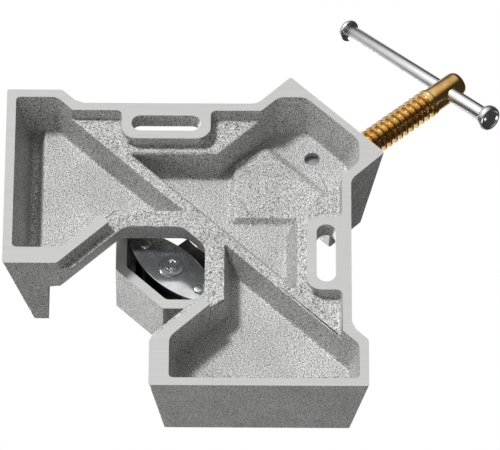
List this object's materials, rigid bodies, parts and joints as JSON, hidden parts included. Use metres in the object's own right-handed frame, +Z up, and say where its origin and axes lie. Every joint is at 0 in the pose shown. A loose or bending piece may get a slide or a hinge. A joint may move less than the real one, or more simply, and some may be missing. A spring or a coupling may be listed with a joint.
{
  "type": "corner clamp",
  "caption": "Cast right-angle clamp with tall fences, a screw-driven V-shaped jaw that swivels to centre itself, a sliding tommy bar and slots for bench bolts.",
  "frame": {"origin": "the workpiece corner: where the planes of the two fence faces meet, at the level of the bench", "axes": "+Z up from the bench; +X along the first fence and square to the second fence's face; +Y along the second fence and square to the first fence's face; the screw comes in along the diagonal from +X +Y"},
  "size_m": [0.3032, 0.2751, 0.0771],
  "materials": {
    "casting": "sand cast, machined bench face",
    "jaw_casting": "sand cast",
    "plated_screw": "bright yellow plating",
    "bar_steel": "bright plated",
    "nut_steel": "turned",
    "block_steel": "dark, oiled",
    "bush_bronze": "sintered",
    "plate_zinc": "zinc plated",
    "rivet_steel": "bright",
    "washer_steel": "plain"
  },
  "bodies": {
    "frame": {"clamp_frame": "casting", "nut_thrust_washer": "washer_steel"},
    "nut": {"swivel_nut": "nut_steel", "nut_pivot_pin": "nut_steel"},
    "carrier": {"swivel_block": "block_steel", "pivot_bush": "bush_bronze", "keeper_pin_left": "block_steel", "keeper_pin_right": "block_steel"},
    "screw": {"clamp_screw": "plated_screw"},
    "handle": {"tommy_bar": "bar_steel", "bar_knob_upper": "bar_steel", "bar_knob_lower": "bar_steel"},
    "jaw": {"moving_jaw": "jaw_casting", "jaw_plate_lower": "plate_zinc", "jaw_plate_upper": "plate_zinc", "plate_rivet_left": "rivet_steel", "plate_spacer_left": "block_steel", "plate_rivet_right": "rivet_steel", "plate_spacer_right": "block_steel", "pivot_axle": "rivet_steel", "pivot_washer_lower": "washer_steel", "pivot_washer_upper": "washer_steel"}
  },
  "joints": [
    {"name": "nut_swing", "type": "hinge", "parent": "frame", "child": "nut", "pos_m": [0.14538, 0.14538, 0.046], "axis": [0, 0, 1], "range_deg": [-10, 2]},
    {"name": "screw_advance", "type": "slide", "parent": "nut", "child": "carrier", "axis": [-0.6561, -0.7547, 0], "range_m": [-0.05001, 0.03601]},
    {"name": "screw_turn", "type": "hinge", "parent": "carrier", "child": "screw", "pos_m": [0.14538, 0.14538, 0.046], "axis": [-0.6561, -0.7547, 0], "range_deg": [-4500, 3240]},
    {"name": "bar_slide", "type": "slide", "parent": "screw", "child": "handle", "axis": [-0.7233, 0.6287, -0.2857], "range_m": [-0.027, 0.077]},
    {"name": "jaw_swivel", "type": "hinge", "parent": "carrier", "child": "jaw", "pos_m": [0.07814, 0.06802, 0.046], "axis": [0, 0, 1], "range_deg": [-8, 8]}
  ],
  "couplings": [
    {"joint": "screw_advance", "follows": "screw_turn", "m_per_rad": 0.00063662}
  ]
}
